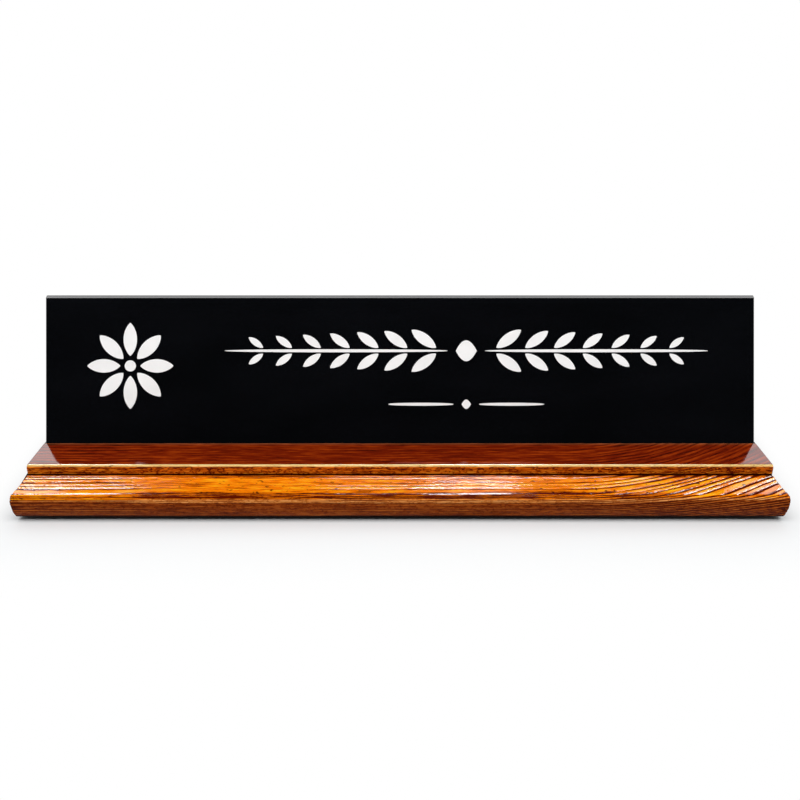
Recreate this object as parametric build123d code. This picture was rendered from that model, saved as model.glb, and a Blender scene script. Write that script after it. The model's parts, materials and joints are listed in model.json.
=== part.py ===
from build123d import *

import os
from math import cos, radians, sin

# Desk name plate in millimetres. +X runs along the plate to the reader's right, +Y to the back, +Z up.
# The origin lies on the desk, under the middle of the whole object.

# Name panel: flat sheet, leaning back, with a polished bevel along its top and eased edges
panel_length = 305.0
panel_show_height = 63.5  # front face above the deck, measured up the lean
panel_thickness = 5.0
panel_top_bevel = 1.4
panel_front_easing = 0.4
panel_back_easing = 0.3
lean_angle = 25.0  # degrees back from upright

# Base moulding: one length of wood, moulded along its front edge
base_end_overhang = 0.5  # base past the panel at each end
base_thickness = 14.3
deck_front_depth = 20.3  # panel face to step face, along the deck
deck_back_depth = 18.5  # groove to back edge, along the deck
deck_arris_radius = 1.6
step_height = 3.9
quirk_width = 0.9
quirk_depth = 0.5
tread_depth = 19.0  # step face to the front of the nose
tread_rise = 0.5  # nose crest above the foot of the step
tread_sag = 0.4  # hollow of the tread below its chord
nose_radius = 2.6
lip_undercut = 3.1
toe_radius = 1.6
back_edge_radius = 1.5

# Groove that holds the panel
groove_clearance = 0.15  # between the panel and each wall
wood_under_groove = 4.8
mouth_easing = 0.4

# Pads under the base
pad_diameter = 12.7
pad_thickness = 1.5
pad_rim_easing = 0.3
pad_end_inset = 16.0  # base end to pad centre
pad_edge_inset = 10.0  # edge of the flat underside to pad centre

cut_overrun = 5.0

# Sizes and places that follow from the ones above
lean = radians(lean_angle)
base_length = panel_length + 2 * base_end_overhang
underside = pad_thickness
deck = underside + base_thickness
groove_width = panel_thickness + 2 * groove_clearance
groove_back = panel_thickness + groove_clearance
panel_seat = (base_thickness - wood_under_groove - groove_back * sin(lean)) / cos(lean)
panel_height = panel_show_height + panel_seat

front_reach = deck_front_depth + tread_depth
base_back_reach = groove_back / cos(lean) + deck_back_depth
panel_back_reach = (panel_show_height - panel_back_easing) * sin(lean) + panel_thickness * cos(lean)
panel_line = (front_reach - max(base_back_reach, panel_back_reach)) / 2  # y where panel face meets deck
front = panel_line - front_reach
back = panel_line + base_back_reach


def corner(section: Sketch, point: tuple[float, float]) -> Vertex:
    """Corner of a section that lies nearest to a point."""
    return section.vertices().sort_by_distance((*point, 0))[0]


def groove_section() -> Sketch:
    """Section of the groove: square-bottomed, leaning with the panel and open above the deck."""
    lean_frame = Pos(panel_line, deck) * Rot(0, 0, -lean_angle)
    slot = Rectangle(groove_width, panel_seat + cut_overrun, align=(Align.MIN, Align.MIN))
    return lean_frame * Pos(-groove_clearance, -panel_seat) * slot


def moulding_section() -> Sketch:
    """Section across the base, with local x to the back and local y up."""
    step = panel_line - deck_front_depth
    step_foot = deck - step_height
    crest = step_foot + tread_rise
    nose = crest - nose_radius

    toe = (front + lip_undercut, underside)
    heel = (back, underside)
    back_top = (back, deck)
    deck_edge = (step, deck)
    quirk = (step, step_foot - quirk_depth)
    tread_back = (step - quirk_width, step_foot)
    tread_front = (front + nose_radius, crest)
    nose_front = (front, nose)

    outline = [
        Line(toe, heel),
        Line(heel, back_top),
        Line(back_top, deck_edge),
        Line(deck_edge, quirk),
        Line(quirk, tread_back),
        SagittaArc(tread_back, tread_front, tread_sag),
        CenterArc((front + nose_radius, nose), nose_radius, 90, 90),
        TangentArc(nose_front, toe, tangent=(0, -1)),
    ]
    section = make_face(outline)
    section = fillet(corner(section, deck_edge), deck_arris_radius)
    section = fillet(corner(section, toe), toe_radius)
    section = fillet([corner(section, heel), corner(section, back_top)], back_edge_radius)

    section -= groove_section()
    mouth_front = (panel_line - groove_clearance / cos(lean), deck)
    mouth_back = (panel_line + groove_back / cos(lean), deck)
    return fillet([corner(section, mouth_front), corner(section, mouth_back)], mouth_easing)


def make_base_moulding() -> Part:
    """Moulded and grooved length of wood with square-cut ends."""
    return extrude(Plane.YZ * moulding_section(), base_length / 2, both=True)


def make_name_panel() -> Part:
    """Sheet on the groove floor, bevelled along the top in front and eased on its other edges."""
    sheet = Box(panel_length, panel_height, panel_thickness, align=(Align.CENTER, Align.MIN, Align.MAX))
    sheet = Pos(0, -panel_seat, 0) * sheet
    sheet = chamfer(sheet.faces().sort_by(Axis.Z)[-1].edges().sort_by(Axis.Y)[-1], panel_top_bevel)
    sheet = chamfer(sheet.faces().sort_by(Axis.Z)[-1].edges().sort_by(Axis.Y)[:-1], panel_front_easing)
    sheet = chamfer(sheet.faces().sort_by(Axis.Z)[0].edges(), panel_back_easing)
    panel_frame = Plane((0, panel_line, deck), x_dir=(1, 0, 0), z_dir=(0, -cos(lean), sin(lean)))
    return panel_frame * sheet


def make_foot_pad(x: float, y: float) -> Part:
    """Round stick-on pad, eased round the rim that meets the desk."""
    pad = Cylinder(pad_diameter / 2, pad_thickness, align=(Align.CENTER, Align.CENTER, Align.MIN))
    pad = fillet(pad.edges().sort_by(Axis.Z)[0], pad_rim_easing)
    return Pos(x, y, 0) * pad


pad_x = base_length / 2 - pad_end_inset
pad_rows = {"front": front + lip_undercut + pad_edge_inset, "back": back - pad_edge_inset}
pad_sides = {"left": -pad_x, "right": pad_x}

nodes = {"base_moulding": make_base_moulding(), "name_panel": make_name_panel()}
for row, y in pad_rows.items():
    for side, x in pad_sides.items():
        nodes[f"foot_pad_{row}_{side}"] = make_foot_pad(x, y)

os.makedirs("parts", exist_ok=True)
for name, shape in nodes.items():
    export_step(shape, f"parts/{name}.step")
    box = shape.bounding_box()
    print(f"{name}: {shape.volume:.0f} mm3, x {box.min.X:.2f} to {box.max.X:.2f},"
          f" y {box.min.Y:.2f} to {box.max.Y:.2f}, z {box.min.Z:.2f} to {box.max.Z:.2f}")
print(f"panel line y {panel_line:.3f}, deck z {deck:.2f}, seat {panel_seat:.3f}, panel height {panel_height:.3f}")
print(f"pads at x {pad_x:.2f}, y {pad_rows}")
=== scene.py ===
"""Desk name plate: a glossy black panel leans back in the groove of a moulded, stained wooden base.

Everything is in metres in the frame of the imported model: +X to the reader's right, +Y to the back, +Z up.
"""

import json
import logging
import math
from dataclasses import dataclass, field
from enum import Enum
from typing import Any, Callable, Sequence

import bpy
import numpy as np
from mathutils import Matrix, Vector, noise


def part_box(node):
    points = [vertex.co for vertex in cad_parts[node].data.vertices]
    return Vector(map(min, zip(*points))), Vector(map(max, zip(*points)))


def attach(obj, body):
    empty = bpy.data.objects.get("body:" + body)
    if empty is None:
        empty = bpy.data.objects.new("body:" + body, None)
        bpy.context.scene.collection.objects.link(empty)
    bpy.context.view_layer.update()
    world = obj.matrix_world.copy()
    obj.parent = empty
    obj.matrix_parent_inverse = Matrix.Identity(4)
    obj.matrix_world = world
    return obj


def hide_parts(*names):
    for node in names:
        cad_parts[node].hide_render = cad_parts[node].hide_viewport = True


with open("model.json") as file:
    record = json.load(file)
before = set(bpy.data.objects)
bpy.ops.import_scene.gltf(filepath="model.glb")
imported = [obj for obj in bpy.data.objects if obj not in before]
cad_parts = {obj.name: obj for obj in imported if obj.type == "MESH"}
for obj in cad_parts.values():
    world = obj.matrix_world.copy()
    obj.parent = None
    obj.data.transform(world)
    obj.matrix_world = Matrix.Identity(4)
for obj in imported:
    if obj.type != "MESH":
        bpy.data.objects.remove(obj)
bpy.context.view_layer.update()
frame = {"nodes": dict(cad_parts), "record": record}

MM = 0.001
NEAR = 0.01 * MM  # places closer than this count as one
HALF = 0.5
SMALLEST = 1e-6  # keeps a length from being zero
FACING = 0.99  # part of a face's normal along the way that it looks
SEGMENTS = 2  # of a small rounding
NOISE_LOW = 0.3  # most of a noise lies between these two
NOISE_HIGH = 0.7
PHOTO_PIXELS = 800
log = logging.getLogger("desk_name_plate")

Pair = tuple[float, float]
Place = tuple[float, float, float]
Socket = bpy.types.NodeSocket


def linear(hex_colour: str) -> tuple[float, float, float, float]:
    """Turn an sRGB hex colour into the linear colour that shaders use.

    Args:
        hex_colour: Colour as "#rrggbb".

    Returns:
        Linear red, green and blue, and an alpha of 1.
    """
    channels = [int(hex_colour[i:i + 2], 16) / 255 for i in (1, 3, 5)]
    curve = [c / 12.92 if c <= 0.04045 else ((c + 0.055) / 1.055) ** 2.4 for c in channels]
    return (curve[0], curve[1], curve[2], 1.0)


def ease(values: np.ndarray, start: float, end: float) -> np.ndarray:
    """Go smoothly from 0 at start to 1 at end; start may be the larger of the two."""
    t = np.clip((values - start) / (end - start), 0.0, 1.0)
    return t * t * (3.0 - 2.0 * t)


@dataclass(frozen=True)
class Waves:
    """Smooth noise through the wood."""

    size: float  # it goes from about minus this to plus this
    lengths: Place  # of one wave along x, y and z
    seed: float  # picks the pattern

    def at(self, points: np.ndarray) -> np.ndarray:
        """Give the noise at each row of x, y and z."""
        places = points / np.asarray(self.lengths) + self.seed
        return self.size * np.array([noise.noise(place) for place in places])


def add_node(tree: bpy.types.NodeTree, kind: str, inputs: dict[str | int, Any] | None = None,
             out: str | int = 0, stops: Sequence[tuple[float, Sequence[float]]] = (),
             **settings: Any) -> Socket:
    """Add one shader node with its settings and links.

    Args:
        tree: Node tree that gets the node.
        kind: Blender's name of the node type, without the ShaderNode that it starts with.
        inputs: A value, or a socket to link, for each input by name or number.
        out: Output that is wanted, by name or number.
        stops: Places and colours of a colour ramp.
        settings: Properties of the node.

    Returns:
        The output that is wanted.
    """
    node = tree.nodes.new("ShaderNode" + kind)
    for name, value in settings.items():
        setattr(node, name, value)
    for key, value in (inputs or {}).items():
        if isinstance(value, Socket):
            tree.links.new(value, node.inputs[key])
        else:
            node.inputs[key].default_value = value
    if stops:
        ramp = node.color_ramp
        while len(ramp.elements) < len(stops):
            ramp.elements.new(HALF)
        for element, (place, colour) in zip(ramp.elements, stops):
            element.position = place
            element.color = colour
    return node.outputs[out]


def new_material(name: str) -> tuple[bpy.types.Material, bpy.types.NodeTree, bpy.types.Node]:
    """Start a node material.

    Args:
        name: Common name of the real material and its finish.

    Returns:
        The material, its node tree and its principled shader.
    """
    material = bpy.data.materials.new(name)
    material.use_nodes = True
    return material, material.node_tree, material.node_tree.nodes["Principled BSDF"]


def grey(value: float) -> tuple[float, float, float, float]:
    """Plain grey of a linear value, for ramps that carry a number."""
    return (value, value, value, 1.0)


def wear(piece: bpy.types.Object, *materials: bpy.types.Material) -> None:
    """Give a piece these materials and no others.

    Args:
        piece: Mesh object.
        materials: In the order of the mesh's material numbers.
    """
    piece.data.materials.clear()
    for material in materials:
        piece.data.materials.append(material)


def deselect_all() -> None:
    """Leave edit mode and clear the selection, so that an operator acts only on what is picked next."""
    if bpy.context.object is not None and bpy.context.object.mode != "OBJECT":
        bpy.ops.object.mode_set(mode="OBJECT")
    bpy.ops.object.select_all(action="DESELECT")


def activate(piece: bpy.types.Object) -> None:
    """Make a piece the only one selected, in object mode.

    Args:
        piece: Object that the next operators act on.
    """
    deselect_all()
    piece.select_set(True)
    bpy.context.view_layer.objects.active = piece


class Element(Enum):
    """Elements of a mesh that can be picked, by Blender's names."""

    EDGE = "EDGE"
    FACE = "FACE"


def pick(piece: bpy.types.Object, kind: Element, test: Callable[..., bool]) -> None:
    """Select some edges or faces of a piece and enter edit mode.

    Args:
        piece: Mesh object.
        kind: What to select.
        test: Says which to take, from an edge's two ends or from a face's centre and normal.
    """
    activate(piece)
    mesh = piece.data
    bpy.ops.object.mode_set(mode="EDIT")
    bpy.ops.mesh.select_mode(type=kind.value)
    bpy.ops.mesh.select_all(action="DESELECT")
    bpy.ops.object.mode_set(mode="OBJECT")
    if kind is Element.EDGE:
        for edge in mesh.edges:
            start, end = (mesh.vertices[i].co for i in edge.vertices)
            edge.select = test(start, end)
    else:
        for polygon in mesh.polygons:
            polygon.select = test(polygon.center, polygon.normal)
    bpy.ops.object.mode_set(mode="EDIT")


def apply_modifier(piece: bpy.types.Object, kind: str, settings: dict[str, Any]) -> None:
    """Add a modifier to a piece and apply it at once.

    Args:
        piece: Mesh object.
        kind: Blender's name of the modifier type.
        settings: Properties of the modifier.
    """
    activate(piece)
    modifier = piece.modifiers.new(kind.lower(), kind)
    for name, value in settings.items():
        setattr(modifier, name, value)
    bpy.ops.object.modifier_apply(modifier=modifier.name)


def face_means(mesh: bpy.types.Mesh, mark: str) -> np.ndarray:
    """Average a value that a mesh carries on its points over each of its faces."""
    values = np.array([item.value for item in mesh.attributes[mark].data])
    return np.array([values[list(polygon.vertices)].mean() for polygon in mesh.polygons])


def settle(piece: bpy.types.Object, angle: float) -> None:
    """Put a piece's place into its mesh and smooth its faces.

    Args:
        piece: Mesh object.
        angle: Edges sharper than this stay sharp, in degrees.
    """
    activate(piece)
    bpy.ops.object.transform_apply(location=True, rotation=True, scale=True)
    bpy.ops.object.mode_set(mode="EDIT")
    bpy.ops.mesh.select_all(action="SELECT")
    bpy.ops.mesh.normals_make_consistent(inside=False)
    bpy.ops.object.mode_set(mode="OBJECT")
    bpy.ops.object.shade_smooth_by_angle(angle=math.radians(angle))


def lean_frame() -> Matrix:
    """Work out the frame of the panel from the way that it slides.

    Returns:
        Its axes as columns: x along the panel, y up its lean and z out of its front face.
    """
    up = Vector(frame["record"]["behaviour"]["joints"][0]["axis"]).normalized()
    along = Vector((1, 0, 0))
    return Matrix((along, up, along.cross(up))).transposed()


def lean_box(node: str) -> tuple[np.ndarray, np.ndarray]:
    """Measure a CAD node in the frame of the panel.

    Args:
        node: Name of the node.

    Returns:
        Its lowest and highest corners along the panel's own axes.
    """
    into = lean_frame().transposed()
    corners = np.array([into @ vertex.co for vertex in frame["nodes"][node].data.vertices])
    return corners.min(axis=0), corners.max(axis=0)


class Face(Enum):
    """Parts of the moulding's outside, each with its own depth of stain; the arris and the nose carry
    painted highlights, the quirk painted shade.
    """

    DECK = "deck"
    ARRIS = "arris"
    STEP = "step"
    QUIRK = "quirk"
    TREAD = "tread"
    NOSE = "nose"
    LIP = "lip"


def weigh(shares: dict[Face, np.ndarray], weights: dict[Face, float], start: float = 0.0) -> np.ndarray:
    """Add up the shares of some faces, each with its weight, on a start that all have."""
    return start + sum(weight * shares[face] for face, weight in weights.items())


class Lacquer(Enum):
    """What the wood keeps of its lacquer, in the order of the materials on the base."""

    GLOSS = "gloss lacquer"
    SATIN = "satin lacquer"
    BARE = "bare grooves"


@dataclass(frozen=True)
class StainAndPaintedLight:
    """Colours of one face, from the dark of the growth rings to the light wood: the stained wood, with
    painted highlights on the arris and the nose and painted shade in the quirk.
    """

    dark: str
    middle: str
    light: str
    roughness: float


@dataclass(frozen=True)
class Streaks:
    """Marks drawn out along the grain. Real ones are finer; these are as coarse as they need to show."""

    length: float  # mm along the grain
    per_ring: float
    detail: float
    shift: float  # picks the pattern
    raggedness: float = 0.62  # strength of each finer layer beside the one before it

    def draw(self, tree: bpy.types.NodeTree, along: Socket, rings: Socket) -> Socket:
        """Draw the streaks as noise.

        Args:
            tree: Node tree of the wood.
            along: Place along the wood.
            rings: Count of growth rings.

        Returns:
            The noise, between 0 and 1.
        """
        run = add_node(tree, "Math", {0: along, 1: 1 / (self.length * MM)}, operation="MULTIPLY")
        across = add_node(tree, "Math", {0: rings, 1: self.per_ring}, operation="MULTIPLY")
        spot = add_node(tree, "CombineXYZ", {0: run, 1: across, 2: self.shift})
        return add_node(tree, "TexNoise", {
            "Vector": spot, "Scale": 1.0, "Detail": self.detail, "Roughness": self.raggedness})


@dataclass(frozen=True)
class StainedWood:
    """Softwood with deep growth rings, stained red-brown and honey, under lacquer.

    The eye sees dark ring lines and fine fibres along the length, short dark pores, and a clear, wet
    gloss on the faces that lie flat, with one patch that is rubbed dull. The upright faces are rubbed
    back to a satin sheen, and the grooves of the grain are bare. The colours also carry painted
    highlights on the arris and the nose, and painted shade in the quirk, along the toe and in corners.
    """

    stains_and_painted_light: dict[Face, StainAndPaintedLight] = field(default_factory=lambda: {
        Face.DECK: StainAndPaintedLight("#450b01", "#721b03", "#a03a08", 0.07),
        Face.STEP: StainAndPaintedLight("#611702", "#da6709", "#faa52c", 0.30),
        # painted highlight: the arris is cream for the light that the top of its rounding catches, with
        # some lighter wear
        Face.ARRIS: StainAndPaintedLight("#e2b060", "#f6d488", "#ffeeac", 0.14),
        Face.TREAD: StainAndPaintedLight("#581101", "#f87b02", "#ffb214", 0.10),
        # painted highlight: the nose is a lighter tan where its rounding faces the light from above the
        # front
        Face.NOSE: StainAndPaintedLight("#783312", "#c8732d", "#e9a762", 0.34),
        Face.LIP: StainAndPaintedLight("#471303", "#8a3808", "#b25c1d", 0.36),
        # painted shade: near black in the crease at the foot of the step and along the toe and underside
        Face.QUIRK: StainAndPaintedLight("#0c0200", "#1c0602", "#3a0f04", 0.40),
    })
    middle_tone: float = 0.55  # place of the middle colour between the dark and the light one
    roughness_shares: Pair = (0.85, 1.2)  # of a face's roughness, from fibre to fibre
    rubbed_roughness: float = 0.15  # added where the lacquer is rubbed dull
    iors: dict[Lacquer, float] = field(default_factory=lambda: {
        Lacquer.GLOSS: 1.52, Lacquer.SATIN: 1.09, Lacquer.BARE: 1.02})
    fibres: Streaks = Streaks(9.0, 2.6, 4.0, 2.3)
    figure: Streaks = Streaks(54.0, 0.4, 2.0, 7.1)
    pores: Streaks = Streaks(2.4, 1.8, 1.0, 4.7)
    flecks: Streaks = Streaks(1.7, 2.2, 2.0, 5.5)
    fibre_contrast: float = 0.40
    figure_contrast: float = 0.16
    ring_shades: tuple[Pair, ...] = ((0.0, 0.0), (0.12, 0.02), (0.23, 0.45), (0.42, 0.88), (0.72, 0.75),
                                     (0.85, 0.10), (1.0, 0.0))  # through one growth ring
    plain_shade: float = 0.60  # where the rings don't show
    blot: Place = (3.6, 1.1, 1.1)  # mm, size of the blots of the mottle
    blot_detail: float = 2.0
    blot_shades: tuple[Pair, ...] = ((0.34, 0.25), (0.42, 0.95), (0.46, 0.0), (0.50, 0.0), (0.54, 0.9),
                                     (0.66, 1.0))  # on the scale of their noise
    blot_tones: Pair = (-0.65, 0.15)
    pore_range: Pair = (0.66, 0.74)  # of their noise, from no pore to a whole one
    pore_strength: float = 0.9
    pore_colour: str = "#4a1002"
    fibre_bump: Pair = (0.3, 0.05 * MM)  # strength and depth
    fleck_bump: Pair = (0.6, 0.25 * MM)

    def material(self, lacquer: Lacquer) -> bpy.types.Material:
        """Build the wood from the ring count that the mesh carries and from fibre noise along it.

        Args:
            lacquer: What is left of the lacquer.

        Returns:
            The finished material.
        """
        material, tree, shader = new_material(f"stained softwood, {lacquer.value}")
        place = add_node(tree, "TexCoord", out="Object")
        along = add_node(tree, "SeparateXYZ", {0: place}, "X")
        marks = {mark: add_node(tree, "Attribute", out="Fac", attribute_name=mark)
                 for mark in ("ring_count", "ridge_strength", "stain_and_shade_depth", "mottle_share", "pore_share",
                              "chip_share", "rubbed_share")}
        rings = marks["ring_count"]
        fibres, figure, pores, flecks = (
            streaks.draw(tree, along, rings)
            for streaks in (self.fibres, self.figure, self.pores, self.flecks))

        blots = add_node(tree, "Mapping", {0: place, 3: [1 / (size * MM) for size in self.blot]})
        blots = add_node(tree, "TexNoise", {"Vector": blots, "Scale": 1.0, "Detail": self.blot_detail})
        turn = add_node(tree, "Math", {0: rings}, operation="FRACT")
        mottle, shade = (
            add_node(tree, "ValToRGB", {0: value}, stops=[(spot, grey(level)) for spot, level in shades])
            for value, shades in ((blots, self.blot_shades), (turn, self.ring_shades)))
        mottle = add_node(tree, "MapRange", {0: mottle, 3: self.blot_tones[0], 4: self.blot_tones[1]})

        tone = add_node(tree, "Mix", {0: marks["ridge_strength"], 2: self.plain_shade, 3: shade},
                        data_type="FLOAT")
        for streaks, contrast in ((fibres, self.fibre_contrast), (figure, self.figure_contrast)):
            layer = add_node(tree, "MapRange", {
                0: streaks, 1: NOISE_LOW, 2: NOISE_HIGH, 3: -contrast, 4: contrast})
            tone = add_node(tree, "Math", {0: tone, 1: layer}, operation="ADD")
        tone = add_node(tree, "Math", {0: mottle, 1: marks["mottle_share"], 2: tone},
                        operation="MULTIPLY_ADD")
        tone = add_node(tree, "Math", {0: tone, 1: marks["stain_and_shade_depth"]},
                        operation="SUBTRACT", use_clamp=True)

        colour: Socket | None = None
        sheen: Socket | None = None
        for face, stain_and_painted_light in self.stains_and_painted_light.items():
            tint = add_node(tree, "ValToRGB", {0: tone}, stops=(
                (0.0, linear(stain_and_painted_light.dark)), (self.middle_tone, linear(stain_and_painted_light.middle)),
                (1.0, linear(stain_and_painted_light.light))))
            smooth, rough = (share * stain_and_painted_light.roughness for share in self.roughness_shares)
            matt = add_node(tree, "MapRange", {
                0: fibres, 1: NOISE_LOW, 2: NOISE_HIGH, 3: smooth, 4: rough})
            if colour is None:
                colour = tint
                sheen = matt
                continue
            share = add_node(tree, "Attribute", out="Fac", attribute_name=f"{face.value}_share")
            colour = add_node(tree, "Mix", {0: share, 6: colour, 7: tint}, 2, data_type="RGBA")
            sheen = add_node(tree, "Mix", {0: share, 2: sheen, 3: matt}, data_type="FLOAT")
        sheen = add_node(tree, "Math", {0: marks["rubbed_share"], 1: self.rubbed_roughness, 2: sheen},
                         operation="MULTIPLY_ADD")

        pits = add_node(tree, "MapRange", {
            0: pores, 1: self.pore_range[0], 2: self.pore_range[1], 4: self.pore_strength})
        pits = add_node(tree, "Math", {0: pits, 1: marks["pore_share"]}, operation="MULTIPLY")
        colour = add_node(tree, "Mix", {0: pits, 6: colour, 7: linear(self.pore_colour)}, 2,
                          data_type="RGBA")
        chips = add_node(tree, "Math", {0: flecks, 1: marks["chip_share"]}, operation="MULTIPLY")
        below: dict[str, Socket] = {}
        for height, (strength, depth) in ((fibres, self.fibre_bump), (chips, self.fleck_bump)):
            bump = add_node(tree, "Bump", {
                "Strength": strength, "Distance": depth, "Height": height, **below})
            below = {"Normal": bump}
        for socket, value in (("Base Color", colour), ("Roughness", sheen), ("Normal", bump)):
            tree.links.new(value, shader.inputs[socket])
        shader.inputs["IOR"].default_value = self.iors[lacquer]
        return material


@dataclass
class MouldedBase:
    """One length of wood, moulded along its front edge and grooved for the panel.

    Unless a comment says otherwise, a pair is from where to where something grows from nothing to all.
    """

    finish: StainedWood = field(default_factory=StainedWood)
    tread_depth: float = 19.0 * MM  # step face to the front of the nose
    tread_rise: float = 0.5 * MM  # crest of the nose above the foot of the step
    step_height: float = 3.9 * MM
    arris_radius: float = 1.6 * MM
    nose_radius: float = 2.6 * MM
    nose_crest: float = 0.2 * MM  # from the nose back to the line where the gloss ends
    end_easing: float = 0.4 * MM

    # Mesh
    fine_pitch: float = 0.25 * MM  # across the tread, the nose and the step
    fine_height: float = 7.0 * MM  # of those below the deck
    plain_pitch: float = 1.0 * MM  # across the deck and the lip
    coarse_pitch: float = 2.2 * MM  # across the groove and the underside
    corner_angle: float = 20.0  # degrees; the outline has a corner where it turns more
    smooth_angle: float = 40.0  # degrees
    spans: tuple[tuple[float, int], ...] = ((-0.105, 70), (-0.045, 45), (0.062, 90), (0.108, 80),
                                            (0.153, 90))  # end of each length and the cuts across it

    # Growth rings and the ridges that they raise
    ring_pitch: float = 2.4 * MM  # between growth rings along the deck
    ring_spread: float = 0.3  # how much wider apart they are at the right end
    ring_slant: float = 2.8  # how much faster the rings pass up the wood than along the deck
    ring_uneven: tuple[tuple[float, float, float], ...] = (
        (0.16, 2.1, 0.0), (0.14, 0.83, 1.0))  # size, pace and start of each wave in their distances
    ring_vary: float = 0.15  # of a ridge's height, from ring to ring
    ring_scatter: float = 12.9898  # draws those heights
    first_ring: float = 20.0
    ring_turns: tuple[float, ...] = (0.0, 0.08, 0.28, 0.66, 0.82, 1.0)
    ring_hollows: tuple[float, ...] = (1.0, 0.92, 0.40, 0.0, 0.04, 1.0)  # depth at those turns of a ring
    sweep_start: float = 68 * MM  # from here to the right end the grain sweeps to the back
    sweep_reach: float = 20 * MM
    bend: tuple[Waves, ...] = (Waves(1.1 * MM, (0.075, 0.05, 0.05), 3.1),
                               Waves(0.35 * MM, (0.022, 0.012, 0.012), 11.7))
    ridge_depth: float = 0.27 * MM
    ridge_places: tuple[float, ...] = (-0.153, -0.112, -0.098, -0.036, -0.024, -0.004, 0.006, 0.018,
                                       0.038, 0.050, 0.064, 0.095, 0.153)
    ridge_heights: tuple[float, ...] = (1.10, 1.00, 0.25, 0.25, 0.85, 0.85, 0.80, 1.00,
                                        1.00, 0.35, 0.45, 1.20, 1.25)  # shares of the depth there
    ridge_waver: Waves = Waves(0.35, (0.03, 0.006, 0.006), 5.9)
    front_ridges: Pair = (12 * MM, 5 * MM)  # from the front; the ridges grow towards the nose
    front_gain: float = 0.95
    run_out: Pair = (7 * MM, 1 * MM)  # from the ends; the ridges grow where the grain runs out
    run_out_gain: float = 0.5
    fuzz: Waves = Waves(0.13, (0.004, 0.0012, 0.0012), 8.3)
    press: dict[Face, float] = field(default_factory=lambda: {
        Face.TREAD: 1.0, Face.NOSE: -0.55, Face.LIP: -0.2, Face.STEP: 0.2, Face.QUIRK: -0.9})
    press_all: float = 0.02  # what every face gets of the ridges, before those shares

    # Where one face passes into the next
    left_end: Pair = (-98 * MM, -118 * MM)
    right_end: Pair = (85 * MM, 115 * MM)
    ahead: Pair = (0.05 * MM, 0.35 * MM)  # in front of the step face
    # the nose band below is painted lighter as a highlight
    nose_top: Pair = (1.2 * MM, 0.2 * MM)  # behind the nose
    nose_start: Pair = (0.93 * MM, 1.2 * MM)  # below the crest
    nose_shift: Pair = (0.6 * MM, -0.5 * MM)  # how much lower the nose starts at the left and right ends
    lip_start: Pair = (2.35 * MM, 2.85 * MM)
    lip_shift: Pair = (-0.8 * MM, -1.3 * MM)  # the same for the lip
    upright: Pair = (0.8, 0.3)  # of the arris radius, behind the step face
    # the arris band between these lines is painted as a highlight
    arris_front: Pair = (0.84, 0.68)  # of the arris radius, behind the step face
    arris_top: Pair = (0.40, 0.30)  # of the arris radius, below the deck
    # painted shade in the crease at the foot of the step
    quirk_drop: float = 0.3 * MM
    quirk_edge: Pair = (0.66 * MM, 0.38 * MM)
    quirk_wander: tuple[Waves, ...] = (Waves(0.3 * MM, (0.005, 0.004, 0.004), 2.6),
                                       Waves(0.2 * MM, (0.0022, 0.003, 0.003), 7.4))
    toe: Pair = (1.4 * MM, 0.9 * MM)  # above the underside; painted shade, near black, along the toe
    mouth_front: Pair = (-0.9 * MM, -0.5 * MM)  # behind the panel's face
    mouth_back: Pair = (0.6 * MM, 0.1 * MM)
    mouth_share: float = 0.30  # of the arris colour, a painted highlight, that the mouth of the groove shows
    rear: Pair = (1.5 * MM, 0.5 * MM)  # from the back

    # Depth of stain and painted shade, mottle, pores and lacquer
    # painted shade: a darker band on the tread just before the nose
    before_nose: Pair = (6.5 * MM, 2.3 * MM)  # from the front
    before_nose_shade: float = 0.52
    right_relief: float = 0.6  # how much less of it there is at the right end
    beside_quirk_shade: tuple[tuple[float, Pair], ...] = (
        (0.32, (3.3 * MM, 2.3 * MM)), (0.22, (1.9 * MM, 0.6 * MM)))  # painted shade on the tread in front of the step face
    # painted shade at the top of the step face, against the light that the rounding above it catches
    under_arris: Pair = (2.2 * MM, 1.0 * MM)  # below the deck
    under_arris_shade: float = 0.28
    hollow_stain: Pair = (0.25, 0.7)  # of the depth of a ring
    run_out_stain: float = 0.6
    right_stain: float = 0.25
    sawn_stain: float = 0.25
    plain_lines: float = 0.45  # strength of the ring lines off the tread
    middle_lines: float = 0.6  # and along the middle of the wood
    right_lines: Pair = (45 * MM, 75 * MM)  # they come back to full strength on the right
    mottle: dict[Face, float] = field(default_factory=lambda: {
        Face.STEP: 0.8, Face.TREAD: 0.15, Face.NOSE: 0.3})
    pores: dict[Face, float] = field(default_factory=lambda: {
        Face.STEP: 1.0, Face.TREAD: 1.0, Face.NOSE: -0.6})
    pores_all: float = 0.12
    rubbed_place: float = 30 * MM  # middle of the patch where the lacquer is rubbed dull
    rubbed_reach: Pair = (26 * MM, 9 * MM)
    groove_share: float = 0.20  # of a ring, bare of gloss to each side of the groove's floor
    glossy_front: Pair = (7 * MM, 3 * MM)  # behind the crest of the nose; the gloss reaches deeper there
    glossy_gain: float = 0.65
    piece: bpy.types.Object | None = None

    def outline(self) -> np.ndarray:
        """Read the outline of the section from the end of the CAD solid.

        Returns:
            Rows of y and z, in order round the outline.
        """
        copy = frame["nodes"]["base_moulding"].copy()
        copy.data = copy.data.copy()
        bpy.context.collection.objects.link(copy)
        activate(copy)
        bpy.ops.object.mode_set(mode="EDIT")
        bpy.ops.mesh.select_all(action="SELECT")
        bpy.ops.mesh.remove_doubles(threshold=0.1 * NEAR)
        pick(copy, Element.FACE, lambda centre, normal: normal.x < FACING)
        bpy.ops.mesh.delete(type="FACE")
        bpy.ops.mesh.select_all(action="SELECT")
        bpy.ops.mesh.dissolve_faces()
        bpy.ops.object.mode_set(mode="OBJECT")
        mesh = copy.data
        points = np.array([mesh.vertices[i].co.yz for i in mesh.polygons[0].vertices])
        bpy.data.objects.remove(copy)
        return points

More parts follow.
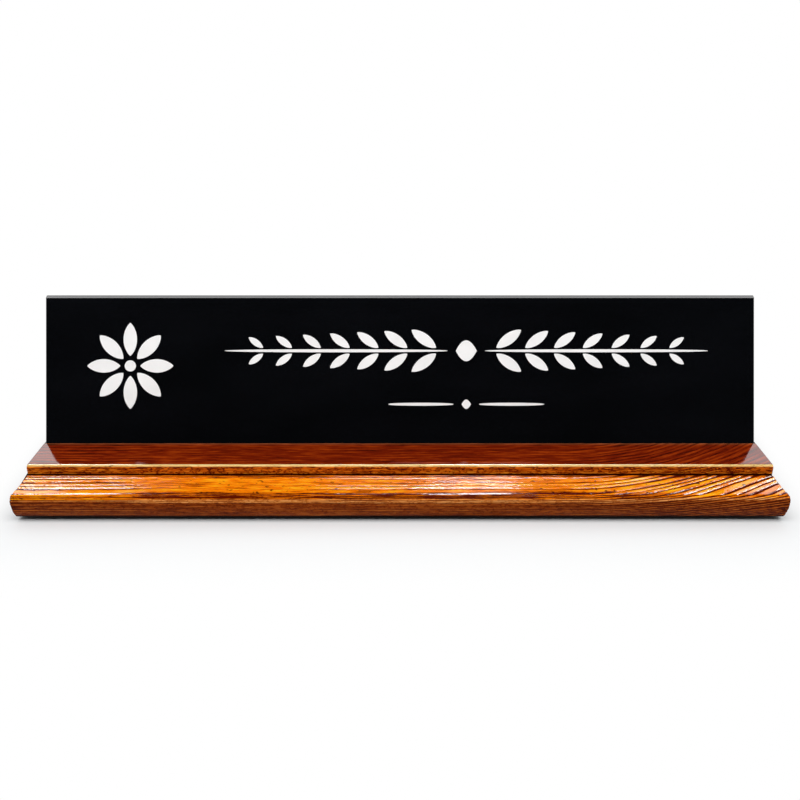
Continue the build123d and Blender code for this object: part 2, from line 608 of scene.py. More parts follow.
    def refine(self, points: np.ndarray) -> np.ndarray:
        """Divide the outline finely, with curves through the points of its arcs.

        Args:
            points: Outline of the section, rows of y and z.

        Returns:
            Outline with more points; its corners stay where they are.
        """
        low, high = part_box("base_moulding")
        runs = np.roll(points, -1, axis=0) - points
        lengths = np.linalg.norm(runs, axis=1)
        ways = runs / lengths[:, None]
        before = np.roll(ways, 1, axis=0)
        tangents = before * np.roll(lengths, 1)[:, None] + ways * lengths[:, None]
        tangents /= np.linalg.norm(tangents, axis=1)[:, None]
        sharp = (before * ways).sum(axis=1) < math.cos(math.radians(self.corner_angle))
        fine_reach = self.tread_depth + self.arris_radius + NEAR
        divided = []
        for i, point in enumerate(points):
            after = (i + 1) % len(points)
            top = max(point[1], points[after][1])
            pitch = self.coarse_pitch
            if point[0] < 0.0 and top > low.z + NEAR:
                fine = point[0] - low.y < fine_reach and top > high.z - self.fine_height
                pitch = self.fine_pitch if fine else self.plain_pitch
            count = max(1, math.ceil(lengths[i] / pitch))
            leave = ways[i] if sharp[i] else tangents[i]
            arrive = ways[i] if sharp[after] else tangents[after]
            for t in np.arange(count) / count:
                spread = (2 * t ** 3 - 3 * t ** 2 + 1, t ** 3 - 2 * t ** 2 + t,
                          -2 * t ** 3 + 3 * t ** 2, t ** 3 - t ** 2)
                divided.append(spread[0] * point + spread[1] * lengths[i] * leave
                               + spread[2] * points[after] + spread[3] * lengths[i] * arrive)
        return np.clip(np.array(divided), (low.y, low.z), (high.y, high.z))

    def build(self) -> None:
        """Draw the section, extrude it along the base, close and ease the ends, and cut the grain."""
        low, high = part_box("base_moulding")
        section = self.refine(self.outline())
        deselect_all()
        bpy.ops.mesh.primitive_circle_add(vertices=len(section), radius=high.y)
        self.piece = bpy.context.object
        self.piece.name = "wooden_base"
        places = np.column_stack((np.full(len(section), low.x), section))
        self.piece.data.vertices.foreach_set("co", places.ravel())

        start = low.x
        for end, cuts in self.spans:
            pick(self.piece, Element.EDGE, lambda a, b: min(a.x, b.x) > start - NEAR)
            bpy.ops.mesh.extrude_region_move(TRANSFORM_OT_translate={"value": (end - start, 0, 0)})
            pick(self.piece, Element.EDGE, lambda a, b: abs(b.x - a.x) > HALF * (end - start)
                 and min(a.x, b.x) > start - NEAR)
            bpy.ops.mesh.subdivide(number_cuts=cuts)
            start = end
        for end in (low.x, high.x):
            pick(self.piece, Element.EDGE, lambda a, b: max(abs(a.x - end), abs(b.x - end)) < NEAR)
            bpy.ops.mesh.edge_face_add()
        pick(self.piece, Element.EDGE, lambda a, b: min(abs(a.x), abs(b.x)) > high.x - NEAR)
        bpy.ops.mesh.bevel(offset=self.end_easing, segments=SEGMENTS, clamp_overlap=False)
        settle(self.piece, self.smooth_angle)
        self.cut_grain()

    def front_line(self) -> float:
        """Line along the crest of the nose, where the gloss of the tread ends."""
        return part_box("base_moulding")[0].y + self.nose_radius + self.nose_crest

    def ends(self, points: np.ndarray) -> tuple[np.ndarray, np.ndarray]:
        """Say how far each point lies in the left and in the right end, where the grain shows more."""
        return ease(points[:, 0], *self.left_end), ease(points[:, 0], *self.right_end)

    def patch(self, points: np.ndarray) -> np.ndarray:
        """Say how far each point lies in the patch where the lacquer is rubbed dull."""
        return ease(np.abs(points[:, 0] - self.rubbed_place), *self.rubbed_reach)

    def groove_line(self) -> float:
        """Line along the deck where the front of the panel leaves the groove."""
        out = lean_frame().col[2]
        return (lean_box("name_panel")[1][2] - out.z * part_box("base_moulding")[1].z) / out.y

    def shares(self, points: np.ndarray) -> dict[Face, np.ndarray]:
        """Work out how far each point lies on each face.

        Args:
            points: Rows of x, y and z.

        Returns:
            For every face but the deck, one share from 0 to 1 per point.
        """
        low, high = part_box("base_moulding")
        y, z = points[:, 1], points[:, 2]
        step = low.y + self.tread_depth
        foot = high.z - self.step_height
        left, right = self.ends(points)
        ahead = ease(step - y, *self.ahead)
        outer = ease(y - low.y - self.nose_radius, *self.nose_top)
        drop = foot + self.tread_rise - z
        # the nose's share is the band painted lighter as a highlight
        over_nose, below_nose = (
            outer * ease(drop - shift[0] * left - shift[1] * right, *span)
            for span, shift in ((self.nose_start, self.nose_shift), (self.lip_start, self.lip_shift)))
        # arris: the band of the rounding painted as a highlight; mouth: a thin line of that painted
        # highlight along the groove
        behind_step = (y - step) / self.arris_radius
        arris = ease(behind_step, *self.arris_front) * (1 - ahead)
        arris *= ease((high.z - z) / self.arris_radius, *self.arris_top)
        # painted shade: the quirk share darkens the crease at the foot of the step and the toe
        wander = sum(waves.at(points) for waves in self.quirk_wander)
        quirk = ease(np.hypot(y - step + wander, z - foot + self.quirk_drop), *self.quirk_edge)
        quirk += ease(z - low.z, *self.toe)
        behind_panel = y - self.groove_line()
        mouth = self.mouth_share * ease(behind_panel, *self.mouth_front)
        mouth *= ease(behind_panel, *self.mouth_back)
        return {
            Face.STEP: ease(behind_step, *self.upright) * (1 - ahead),
            Face.ARRIS: arris + mouth,
            Face.TREAD: ahead,
            Face.NOSE: over_nose,
            Face.LIP: np.clip(below_nose + ease(high.y - y, *self.rear), 0, 1),
            Face.QUIRK: np.clip(quirk, 0, 1),
        }

    def cut_grain(self) -> None:
        """Press the soft part of each growth ring in and keep what the wood needs to know on the mesh."""
        low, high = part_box("base_moulding")
        mesh = self.piece.data
        points = np.array([vertex.co for vertex in mesh.vertices])
        normals = np.array([vertex.normal for vertex in mesh.vertices])
        x, y, z = points.T

        sweep = np.clip((x - self.sweep_start) / (high.x - self.sweep_start), 0, None) ** 2
        bend = sum(waves.at(points) for waves in self.bend)
        ring = y + self.ring_slant * z - self.sweep_reach * sweep + bend - low.y
        ring /= self.ring_pitch * (1.0 + self.ring_spread * sweep)
        uneven = sum(size * np.sin(pace * ring + start) for size, pace, start in self.ring_uneven)
        ring += uneven + self.first_ring
        hollow = np.interp(ring % 1.0, self.ring_turns, self.ring_hollows)

        inset = high.x - np.abs(x)
        run_out = ease(inset, *self.run_out)
        strong = np.interp(x, self.ridge_places, self.ridge_heights)
        strong *= 1.0 - self.ring_vary + self.ring_vary * np.sin(self.ring_scatter * np.floor(ring))
        strong *= 1.0 + self.ridge_waver.at(points)
        strong *= 1.0 + self.front_gain * ease(y - low.y, *self.front_ridges)
        strong *= 1.0 + self.run_out_gain * run_out

        shares = self.shares(points)
        amount = np.clip(weigh(shares, self.press, self.press_all), 0, 1)
        fuzz = self.fuzz.size + self.fuzz.at(points)
        across = normals * np.array((0.0, 1.0, 1.0))
        across /= np.maximum(np.linalg.norm(across, axis=1), SMALLEST)[:, None]
        inward = self.ridge_depth * amount * (strong * hollow + fuzz)
        points -= across * inward[:, None]
        mesh.vertices.foreach_set("co", points.ravel())
        mesh.update()

        tread = shares[Face.TREAD]
        left, right = self.ends(points)
        # real stain in the hollows and on the sawn ends, and painted shade before the nose, beside the
        # quirk and below the arris
        before_nose = tread * ease(y - low.y, *self.before_nose)
        before_nose *= (1 - left) * (1 - self.right_relief * right)
        before_step = low.y + self.tread_depth - y
        stain_and_painted_light = self.before_nose_shade * before_nose * (1 - shares[Face.NOSE])
        stain_and_painted_light += tread * sum(depth * ease(before_step, *span) for depth, span in self.beside_quirk_shade)
        in_hollows = self.run_out_stain * run_out + self.right_stain * right
        stain_and_painted_light += in_hollows * tread * ease(hollow, *self.hollow_stain)
        stain_and_painted_light += self.under_arris_shade * shares[Face.STEP] * ease(high.z - z, *self.under_arris)
        stain_and_painted_light += self.sawn_stain * ease(inset, self.end_easing, 0.0)
        lines = np.clip(strong, 0, 1) * (self.plain_lines + (1 - self.plain_lines) * tread)
        off_middle = np.maximum(left, ease(x, *self.right_lines))
        lines *= self.middle_lines + (1 - self.middle_lines) * off_middle
        rubbed = tread * self.patch(points)
        marks = {
            "ring_count": ring,
            "ridge_strength": lines,
            "stain_and_shade_depth": stain_and_painted_light,
            "mottle_share": weigh(shares, self.mottle),
            "pore_share": np.clip(weigh(shares, self.pores, self.pores_all), 0, 1),
            "rubbed_share": rubbed,
            "chip_share": tread + rubbed,
            **{f"{face.value}_share": share for face, share in shares.items()},
        }
        for name, values in marks.items():
            mark = mesh.attributes.new(name, "FLOAT", "POINT")
            mark.data.foreach_set("value", values.astype(np.float32))

    def dress(self) -> list[bpy.types.Object]:
        """Stain the base and set it on the stand in place of its solid.

        Returns:
            The finished pieces.
        """
        mesh = self.piece.data
        wear(self.piece, *(self.finish.material(lacquer) for lacquer in Lacquer))
        middles = np.array([polygon.center for polygon in mesh.polygons])
        shares = self.shares(middles)
        behind_crest = middles[:, 1] - self.front_line()
        upright = shares[Face.STEP] + shares[Face.NOSE] + shares[Face.LIP] + shares[Face.QUIRK] > HALF
        upright |= behind_crest < 0
        upright &= shares[Face.ARRIS] < HALF
        sawn = np.array([abs(polygon.normal.x) > HALF for polygon in mesh.polygons])
        near_nose = ease(behind_crest, *self.glossy_front)
        near_nose *= np.maximum(self.ends(middles)[0], self.patch(middles))
        turn = face_means(mesh, "ring_count") % 1.0
        grooves = np.minimum(turn, 1 - turn) < self.groove_share * (1.0 - self.glossy_gain * near_nose)
        grooves &= (face_means(mesh, "ridge_strength") > HALF) & (shares[Face.TREAD] > HALF)
        gloss, satin, bare = range(len(Lacquer))
        finish = np.where(upright | sawn, satin, np.where(grooves, bare, gloss))
        mesh.polygons.foreach_set("material_index", finish.astype(np.int32))
        mesh.update()
        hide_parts("base_moulding")
        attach(self.piece, "stand")
        return [self.piece]


@dataclass(frozen=True)
class PatchyFinish:
    """A finish that changes softly from patch to patch."""

    name: str  # common name of the material
    tones: tuple[tuple[float, str], ...]  # places of the colours on the scale of the noise
    patch: Place  # mm
    detail: float
    roughness: Pair  # from patch to patch
    ior: float | None = None  # the shader's own where it is None
    cell_depth: float = 0.0  # of open cells in the surface
    cell_strength: float = 0.5

    def material(self) -> bpy.types.Material:
        """Build the finish.

        Returns:
            The finished material.
        """
        material, tree, shader = new_material(self.name)
        place = add_node(tree, "TexCoord", out="Object")
        place = add_node(tree, "Mapping", {0: place, 3: [1 / (size * MM) for size in self.patch]})
        patches = add_node(tree, "TexNoise", {"Vector": place, "Scale": 1.0, "Detail": self.detail})
        stops = [(spot, linear(tone)) for spot, tone in self.tones]
        tint = add_node(tree, "ValToRGB", {0: patches}, stops=stops)
        tree.links.new(tint, shader.inputs["Base Color"])
        smooth, rough = self.roughness
        shader.inputs["Roughness"].default_value = rough
        if smooth < rough:
            matt = add_node(tree, "MapRange", {
                0: patches, 1: NOISE_LOW, 2: NOISE_HIGH, 3: smooth, 4: rough})
            tree.links.new(matt, shader.inputs["Roughness"])
        if self.ior is not None:
            shader.inputs["IOR"].default_value = self.ior
        if self.cell_depth > 0:
            bump = add_node(tree, "Bump", {
                "Strength": self.cell_strength, "Distance": self.cell_depth, "Height": patches})
            tree.links.new(bump, shader.inputs["Normal"])
        return material


@dataclass(frozen=True)
class BlackAcrylic(PatchyFinish):
    """Cast acrylic sheet, polished: a deep black under a clear gloss, with a trace of wipe marks."""

    name: str = "polished black acrylic"
    tones: tuple[tuple[float, str], ...] = ((0.35, "#060709"), (0.75, "#0b0c0f"))
    patch: Place = (60.0, 20.0, 20.0)
    detail: float = 5.0
    roughness: Pair = (0.035, 0.075)
    ior: float | None = 1.49


@dataclass(frozen=True)
class WhiteVinyl(PatchyFinish):
    """Cut white vinyl film, satin, with the faint unevenness of hand-rubbed film."""

    name: str = "white vinyl film"
    tones: tuple[tuple[float, str], ...] = ((0.3, "#f6f6f5"), (0.6, "#fdfdfc"))
    patch: Place = (9.0, 9.0, 9.0)
    detail: float = 3.0
    roughness: Pair = (0.323, 0.437)


@dataclass(frozen=True)
class PadRubber(PatchyFinish):
    """Black sponge rubber of stick-on pads: matt, with open cells drawn coarse enough to show."""

    name: str = "black sponge rubber"
    tones: tuple[tuple[float, str], ...] = ((0.35, "#101011"), (0.7, "#232324"))
    patch: Place = (0.5, 0.5, 0.5)
    detail: float = 2.0
    roughness: Pair = (0.82, 0.82)
    cell_depth: float = 0.05 * MM


@dataclass
class NamePanel:
    """Black sheet that stands in the groove, bevelled along its top and eased on its other edges."""

    finish: BlackAcrylic = field(default_factory=BlackAcrylic)
    top_bevel: float = 1.4 * MM
    swell: float = 0.06 * MM  # how far the polished top bevel stands out
    swell_share: float = 0.35  # of the bevel's width, from its top edge to where it stands out most
    front_easing: float = 0.4 * MM
    back_easing: float = 0.3 * MM
    polish: float = 0.12 * MM  # rounding that polishing leaves on the edges
    polish_angle: float = 20.0  # degrees; edges sharper than this are rounded
    smooth_angle: float = 50.0  # degrees
    piece: bpy.types.Object | None = None

    def swell_bevel(self, sheet: bpy.types.Object) -> None:
        """Let a line along the top bevel stand out, as polishing leaves it.

        Args:
            sheet: The sheet, still in the frame of the panel.
        """
        high = lean_box("name_panel")[1]
        down = self.top_bevel * self.swell_share
        line = Vector((0, high[1] - down, high[2] - self.top_bevel + down))
        pick(sheet, Element.FACE, lambda centre, normal: min(normal.y, normal.z) > HALF)
        bpy.ops.mesh.bisect(plane_co=line, plane_no=(0, 1, -1))
        pick(sheet, Element.EDGE, lambda a, b: max((a - line).yz.length, (b - line).yz.length) < NEAR)
        bpy.ops.transform.translate(value=Vector((0, 1, 1)).normalized() * self.swell)

    def build(self) -> None:
        """Cut the sheet, plane its bevel and easings, and round what polishing rounds."""
        low, high = lean_box("name_panel")
        deselect_all()
        bpy.ops.mesh.primitive_cube_add(size=1, location=(low + high) / 2, scale=high - low)
        sheet = bpy.context.object
        sheet.name = "black_panel"
        bpy.ops.object.transform_apply(location=True, rotation=True, scale=True)
        for face, way in ((high[2], 1), (low[2], -1)):
            for axis, edge, side in ((0, low[0], -1), (0, high[0], 1), (1, low[1], -1), (1, high[1], 1)):
                easing = self.front_easing if way > 0 else self.back_easing
                width = self.top_bevel if way > 0 and axis == 1 and side > 0 else easing
                place = Vector((0, 0, face - way * width))
                place[axis] = edge
                out = Vector((0, 0, way))
                out[axis] = side
                pick(sheet, Element.FACE, lambda centre, normal: True)
                bpy.ops.mesh.bisect(plane_co=place, plane_no=out.normalized(), use_fill=True,
                                    clear_outer=True)
        apply_modifier(sheet, "BEVEL", {
            "width": self.polish, "segments": SEGMENTS, "limit_method": "ANGLE",
            "angle_limit": math.radians(self.polish_angle)})
        self.swell_bevel(sheet)
        sheet.matrix_world = lean_frame().to_4x4()
        settle(sheet, self.smooth_angle)
        apply_modifier(sheet, "WEIGHTED_NORMAL", {"keep_sharp": True})
        self.piece = sheet

    def dress(self) -> list[bpy.types.Object]:
        """Finish the panel and set it on its body in place of its solid.

        Returns:
            The finished pieces.
        """
        wear(self.piece, self.finish.material())
        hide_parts("name_panel")
        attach(self.piece, "panel")
        return [self.piece]


class Cut(Enum):
    """Outlines of the marks, as powers: 1 is an ellipse, less has blunt ends and more has points."""

    RULE = 0.8
    ROUND = 1.0
    LEAF = 1.6
    LOZENGE = 2.0


@dataclass
class FilmMarks:
    """Plain ornament cut from white film on the panel's front: a rosette, a leafy branch and a divider.

    Places are along the panel and up it from the deck.
    """

    finish: WhiteVinyl = field(default_factory=WhiteVinyl)
    thickness: float = 0.1 * MM
    sunk_share: float = 0.1  # of the thickness that lies below the panel's face
    rosette_place: Pair = (-116.0 * MM, 33.0 * MM)
    petals: int = 8
    petal_length: float = 14.2 * MM
    petal_width: float = 5.8 * MM
    petal_start: float = 4.3 * MM
    heart: float = 4.8 * MM
    branch_place: Pair = (28.5 * MM, 39.5 * MM)
    lozenge: float = 9.0 * MM
    stem_start: float = 8.0 * MM
    stem_length: float = 96.0 * MM
    stem_width: float = 1.3 * MM
    leaf_pairs: int = 7
    leaf_start: float = 13.0 * MM
    leaf_pitch: float = 12.4 * MM
    leaf_length: float = 13.0 * MM
    leaf_shrink: float = 0.9 * MM
    leaf_width_share: float = 0.36  # of its length
    leaf_turn: float = 36.0  # degrees from the stem
    divider_place: Pair = (28.5 * MM, 16.5 * MM)
    rule_length: float = 28.0 * MM
    rule_start: float = 5.5 * MM
    bead: float = 4.0 * MM
    points: int = 48
    smooth_angle: float = 30.0  # degrees
    piece: bpy.types.Object | None = None

    def mark(self, middle: Pair, length: float, width: float, turn: float, cut: Cut) -> bpy.types.Object:
        """Cut one mark.

        Args:
            middle: Place of its middle, along and up the panel.
            length: From end to end.
            width: Across its widest part.
            turn: Angle of its length from the panel's length, in radians.
            cut: Its outline.

        Returns:
            The mark, flat in the frame of the panel and with the film's thickness.
        """
        deselect_all()
        bpy.ops.mesh.primitive_circle_add(vertices=self.points, radius=HALF, fill_type="NGON")
        mark = bpy.context.object
        for vertex in mark.data.vertices:
            across = abs(2 * vertex.co.y) ** cut.value
            vertex.co.y = math.copysign(across * width / 2, vertex.co.y)
            vertex.co.x *= length
        bpy.ops.object.mode_set(mode="EDIT")
        bpy.ops.mesh.select_all(action="SELECT")
        bpy.ops.mesh.extrude_region_move(TRANSFORM_OT_translate={"value": (0, 0, self.thickness)})
        bpy.ops.object.mode_set(mode="OBJECT")
        mark.rotation_euler.z = turn
        mark.location = (*middle, 0)
        return mark

    def rosette(self) -> list[bpy.types.Object]:
        """Cut the petals round their heart.

        Returns:
            The marks of the rosette.
        """
        along, up = self.rosette_place
        marks = [self.mark(self.rosette_place, self.heart, self.heart, 0, Cut.ROUND)]
        for i in range(self.petals):
            turn = 2 * math.pi * i / self.petals
            reach = self.petal_start + self.petal_length / 2
            middle = (along + reach * math.cos(turn), up + reach * math.sin(turn))
            marks.append(self.mark(middle, self.petal_length, self.petal_width, turn, Cut.LEAF))
        return marks

    def ruled(self, place: Pair, size: float, start: float, length: float) -> list[bpy.types.Object]:
        """Cut a lozenge between two rules.

        Args:
            place: Middle of the lozenge, along and up the panel.
            size: Of the lozenge.
            start: From its middle to each rule.
            length: Of each rule.

        Returns:
            The three marks.
        """
        marks = [self.mark(place, size, size, 0, Cut.LOZENGE)]
        for side in (-1, 1):
            middle = (place[0] + side * (start + length / 2), place[1])
            marks.append(self.mark(middle, length, self.stem_width, 0, Cut.RULE))
        return marks

    def leaves(self) -> list[bpy.types.Object]:
        """Cut the pairs of leaves on the branch, smaller towards its ends.

        Returns:
            The leaves.
        """
        along, up = self.branch_place
        turn = math.radians(self.leaf_turn)
        marks = []
        for side in (-1, 1):
            for i in range(self.leaf_pairs):
                length = self.leaf_length - i * self.leaf_shrink
                reach = self.leaf_start + i * self.leaf_pitch + length / 2 * math.cos(turn)
                rise = self.stem_width + length / 2 * math.sin(turn)
                for way in (-1, 1):
                    middle = (along + side * reach, up + way * rise)
                    width = self.leaf_width_share * length
                    marks.append(self.mark(middle, length, width, side * way * turn, Cut.LEAF))
        return marks

    def build(self) -> None:
        """Cut the marks and lay them on the panel's face as one film."""
        marks = self.rosette() + self.leaves()
        marks += self.ruled(self.branch_place, self.lozenge, self.stem_start, self.stem_length)
        marks += self.ruled(self.divider_place, self.bead, self.rule_start, self.rule_length)
        deselect_all()
        for mark in marks:
            mark.select_set(True)
        bpy.context.view_layer.objects.active = marks[0]
        bpy.ops.object.transform_apply(location=True, rotation=True, scale=True)
        bpy.ops.object.join()
        self.piece = marks[0]
        self.piece.name = "white_film"
        lean = lean_frame()
        face = lean_box("name_panel")[1][2]
        rise = (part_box("base_moulding")[1].z - face * lean.col[2].z) / lean.col[1].z
        lift = face - self.sunk_share * self.thickness
        self.piece.matrix_world = lean.to_4x4() @ Matrix.Translation((0, rise, lift))
        settle(self.piece, self.smooth_angle)

    def dress(self) -> list[bpy.types.Object]:
        """Finish the film and let it ride on the panel.

        Returns:
            The finished pieces.
        """
        wear(self.piece, self.finish.material())
        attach(self.piece, "panel")
        return [self.piece]


@dataclass
class FootPads:
    """Four round stick-on pads under the base."""

    finish: PadRubber = field(default_factory=PadRubber)
    names: tuple[str, ...] = ("foot_pad_front_left", "foot_pad_front_right",
                              "foot_pad_back_left", "foot_pad_back_right")
    sides: int = 64
    rim: float = 0.3 * MM
    rim_segments: int = 4
    insets: Pair = (1.2 * MM, 0.8 * MM)  # from the rim to the dish, and across its slope
    dish: float = 0.12 * MM
    smooth_angle: float = 35.0  # degrees
    pieces: list[bpy.types.Object] = field(default_factory=list)

    def build(self) -> None:
        """Model one pad with a rounded rim and a slightly dished foot, and copy it to its four places."""
        low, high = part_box(self.names[0])
        deselect_all()
        bpy.ops.mesh.primitive_cylinder_add(vertices=self.sides, radius=(high.x - low.x) / 2,
                                            depth=high.z - low.z, location=(low + high) / 2)
        pad = bpy.context.object
        bpy.ops.object.transform_apply(location=True, rotation=True, scale=True)
        pick(pad, Element.EDGE, lambda a, b: max(a.z, b.z) < low.z + NEAR)
        bpy.ops.mesh.bevel(offset=self.rim, segments=self.rim_segments)
        pick(pad, Element.FACE, lambda centre, normal: normal.z < -FACING)
        for inset in self.insets:
            bpy.ops.mesh.inset(thickness=inset)
        bpy.ops.transform.translate(value=(0, 0, self.dish))
        settle(pad, self.smooth_angle)
        for name in self.names:
            copy = pad.copy()
            copy.data = pad.data.copy()
            copy.name = name.replace("foot_pad", "rubber_pad")
            bpy.context.collection.objects.link(copy)
            copy.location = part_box(name)[0] - low
            settle(copy, self.smooth_angle)
            self.pieces.append(copy)
        bpy.data.objects.remove(pad)

    def dress(self) -> list[bpy.types.Object]:
        """Finish the pads and set each in place of its solid.

        Returns:
            The finished pieces.
        """
        rubber = self.finish.material()
        for pad, name in zip(self.pieces, self.names):
            wear(pad, rubber)
            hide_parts(name)
            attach(pad, "stand")
        return self.pieces


class Shine(Enum):
    """What a lamp gives: light on everything, or only gloss on all pieces, the base or the panel."""

    DIFFUSE = "diffuse"
    GLOSS = "gloss"
    LACQUER = "lacquer"
    ACRYLIC = "acrylic"


@dataclass(frozen=True)
class Softbox:
    """A soft studio lamp that points straight across at the object's long axis."""

    name: str
    place: Place
    width: float
    height: float
    glow: float  # radiance of its face
    shine: Shine
    aim_height: float = 0.02

    def hang(self, shown_in: dict[Shine, bpy.types.Collection]) -> None:
        """Hang the lamp; its power follows from its size and its glow.

        Args:
            shown_in: The pieces that a lamp for one finish alone shines on.
        """
        deselect_all()
        aim = Vector((self.place[0], 0, self.aim_height)) - Vector(self.place)
        bpy.ops.object.light_add(type="AREA", location=self.place,
                                 rotation=aim.to_track_quat("-Z", "Y").to_euler())
        lamp = bpy.context.object
        lamp.name = self.name
        lamp.data.shape = "RECTANGLE"
        lamp.data.size = self.width
        lamp.data.size_y = self.height
        lamp.data.energy = self.glow * math.pi * self.width * self.height
        lamp.visible_camera = False
        lamp.visible_diffuse = self.shine is Shine.DIFFUSE
        lamp.visible_glossy = self.shine is not Shine.DIFFUSE
        if self.shine in shown_in:
            lamp.light_linking.receiver_collection = shown_in[self.shine]


@dataclass
class Studio:
    """Pale floor, soft light and the camera at the photograph's viewing angle."""

    lamps: tuple[Softbox, ...] = (
        Softbox("back_strip", (0.0, 0.34, 0.58), 1.1, 0.05, 3.0, Shine.LACQUER),
        Softbox("edge_strip", (0.0, 0.338, 0.622), 1.1, 0.10, 4.8, Shine.ACRYLIC),
        Softbox("back_left_softbox", (-0.45, 0.90, 0.52), 0.9, 0.26, 1.4, Shine.GLOSS),
        Softbox("back_right_softbox", (0.45, 0.90, 0.52), 0.9, 0.26, 0.9, Shine.GLOSS),
        Softbox("left_highlight", (-0.375, 0.308, 0.562), 0.14, 0.29, 18.0, Shine.LACQUER),
        Softbox("centre_highlight", (-0.045, 0.308, 0.562), 0.10, 0.29, 7.0, Shine.LACQUER),
        Softbox("middle_highlight", (0.092, 0.308, 0.562), 0.11, 0.29, 38.0, Shine.LACQUER),
        Softbox("middle_side_highlight", (0.165, 0.308, 0.562), 0.06, 0.29, 14.0, Shine.LACQUER),
        Softbox("right_highlight", (0.27, 0.308, 0.562), 0.17, 0.29, 6.0, Shine.LACQUER),
        Softbox("right_end_highlight", (0.71, 0.40, 0.610), 0.34, 0.34, 15.0, Shine.LACQUER),
        Softbox("front_fill", (0.0, -0.30, 0.72), 1.4, 0.40, 3.95, Shine.DIFFUSE),
    )
    floor_span: float = 12.0
    floor_white: str = "#eff1f2"
    floor_roughness: float = 0.9
    painted: Place = (0.150, 0.035, 0.0)  # half of the floor that is all white paint
    fade: Place = (0.024, 0.045, 1.0)  # from its edge to the plain white of the backdrop
    ambient: float = 0.62
    backdrop_side: Pair = (0.0, 0.3)  # the gloss shows the backdrop where it looks to the back
    backdrop_top: Pair = (0.55, 0.68)  # and no higher than this
    room_side: Pair = (-0.75, 0.35)  # the room grows lighter from the front to the back
    room_dark: float = 0.03
    room_gloss: float = 0.15  # share of the room's light that the gloss shows
    focal_pixels: float = 852.5
    pitch: float = 25.05  # degrees down
    eye: Place = (0.0, -0.3205, 0.1877)
    sensor: float = 36.0  # mm
    nearest: float = 0.01

    def lay_floor(self) -> None:
        """Lay the floor: white paint near the object, to keep its shadow, and plain white far off."""
        deselect_all()
        bpy.ops.mesh.primitive_plane_add(size=self.floor_span)
        floor = bpy.context.object
        floor.name = "studio_floor"
        material, tree, shader = new_material("white studio floor")
        reach = add_node(tree, "TexCoord", out="Object")
        nothing = (0.0, 0.0, 0.0)
        for operation, sizes in (("ABSOLUTE", nothing), ("SUBTRACT", self.painted), ("MAXIMUM", nothing),
                                 ("DIVIDE", self.fade)):
            reach = add_node(tree, "VectorMath", {0: reach, 1: sizes}, operation=operation)
        reach = add_node(tree, "VectorMath", {0: reach}, "Value", operation="LENGTH")
        away = add_node(tree, "MapRange", {0: reach}, interpolation_type="SMOOTHSTEP")
        path = add_node(tree, "LightPath").node.outputs
        seen = path["Is Camera Ray"]
        for ray in ("Is Glossy Ray", "Is Transmission Ray"):
            seen = add_node(tree, "Math", {0: seen, 1: path[ray]}, operation="ADD", use_clamp=True)
        share = add_node(tree, "Math", {0: seen, 1: away}, operation="MULTIPLY")
        glow = add_node(tree, "Emission", {"Color": grey(1.0), "Strength": 1.0})
        shader.inputs["Base Color"].default_value = linear(self.floor_white)
        shader.inputs["Roughness"].default_value = self.floor_roughness
        shader.inputs["Specular IOR Level"].default_value = 0.0
        mixed = add_node(tree, "MixShader", {0: share, 1: shader.outputs[0], 2: glow})
        tree.links.new(mixed, tree.nodes["Material Output"].inputs["Surface"])
        wear(floor, material)

    def light_world(self) -> None:
        """Make the backdrop white to the camera and in the gloss, and the room dark in front and above.

        The dark part is what the black panel mirrors, so it stays black. The lacquer shows the backdrop.
        """
        world = bpy.data.worlds.new("studio_world")
        bpy.context.scene.world = world
        world.use_nodes = True
        tree = world.node_tree
        back = tree.nodes["Background"]
        way = add_node(tree, "TexCoord", out="Generated")
        way = add_node(tree, "SeparateXYZ", {0: way}).node.outputs
        path = add_node(tree, "LightPath").node.outputs
        mirrored = add_node(tree, "Math", {0: path["Is Glossy Ray"], 1: path["Is Transmission Ray"]},
                            operation="ADD", use_clamp=True)
        side, top, room, dimmed = (
            add_node(tree, "MapRange", {0: value, 1: span[0], 2: span[1], 3: start, 4: end},
                     interpolation_type="SMOOTHSTEP")
            for value, span, start, end in (
                (way["Y"], self.backdrop_side, 0.0, 1.0),
                (way["Z"], self.backdrop_top, 1.0, 0.0),
                (way["Y"], self.room_side, self.room_dark, self.ambient),
                (mirrored, (0.0, 1.0), 1.0, self.room_gloss)))
        room = add_node(tree, "Math", {0: room, 1: dimmed}, operation="MULTIPLY")
        backdrop = add_node(tree, "Math", {0: side, 1: top}, operation="MULTIPLY")
        shown = add_node(tree, "Math", {0: mirrored, 1: backdrop, 2: path["Is Camera Ray"]},
                         operation="MULTIPLY_ADD", use_clamp=True)
        level = add_node(tree, "Mix", {0: shown, 2: room, 3: 1.0}, data_type="FLOAT")
        back.inputs["Color"].default_value = grey(1.0)
        tree.links.new(level, back.inputs["Strength"])

    def place_camera(self) -> None:
        """Place the camera at the photograph's viewing angle."""
        deselect_all()
        bpy.ops.object.camera_add(location=self.eye, rotation=(math.radians(90 - self.pitch), 0, 0))
        camera = bpy.context.object
        camera.data.sensor_fit = "HORIZONTAL"
        camera.data.sensor_width = self.sensor
        camera.data.lens = self.sensor * self.focal_pixels / PHOTO_PIXELS
        camera.data.clip_start = self.nearest
        bpy.context.scene.camera = camera

    def build(self) -> None:
        """Set the floor, the lamps, the world and the camera."""
        self.lay_floor()
        shown_in = {}
        for shine, piece in ((Shine.LACQUER, "wooden_base"), (Shine.ACRYLIC, "black_panel")):
            shown_in[shine] = bpy.data.collections.new(f"{shine.value}_pieces")
            shown_in[shine].objects.link(bpy.data.objects[piece])
        for lamp in self.lamps:
            lamp.hang(shown_in)
        self.light_world()
        self.place_camera()
        bpy.context.scene.view_settings.view_transform = "Standard"


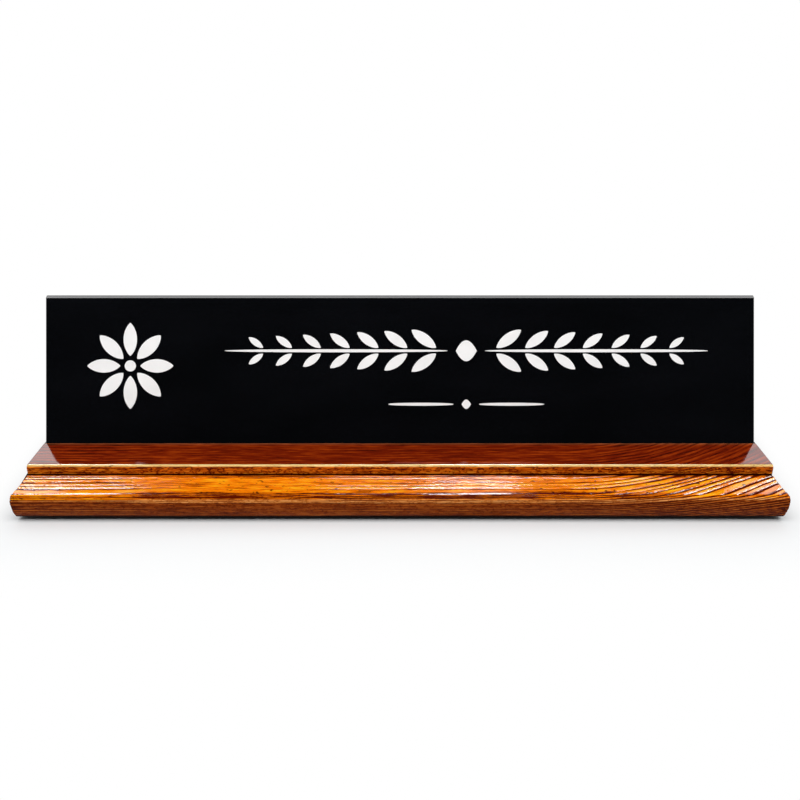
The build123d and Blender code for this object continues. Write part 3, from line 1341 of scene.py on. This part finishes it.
def main() -> None:
    """Build the object and its studio."""
    logging.basicConfig(level=logging.INFO, format="%(name)s: %(message)s")
    for part in (MouldedBase(), NamePanel(), FilmMarks(), FootPads()):
        part.build()
        for piece in part.dress():
            log.info("%s: %d faces", piece.name, len(piece.data.polygons))
    Studio().build()
    deselect_all()


if __name__ == "__main__":
    main()
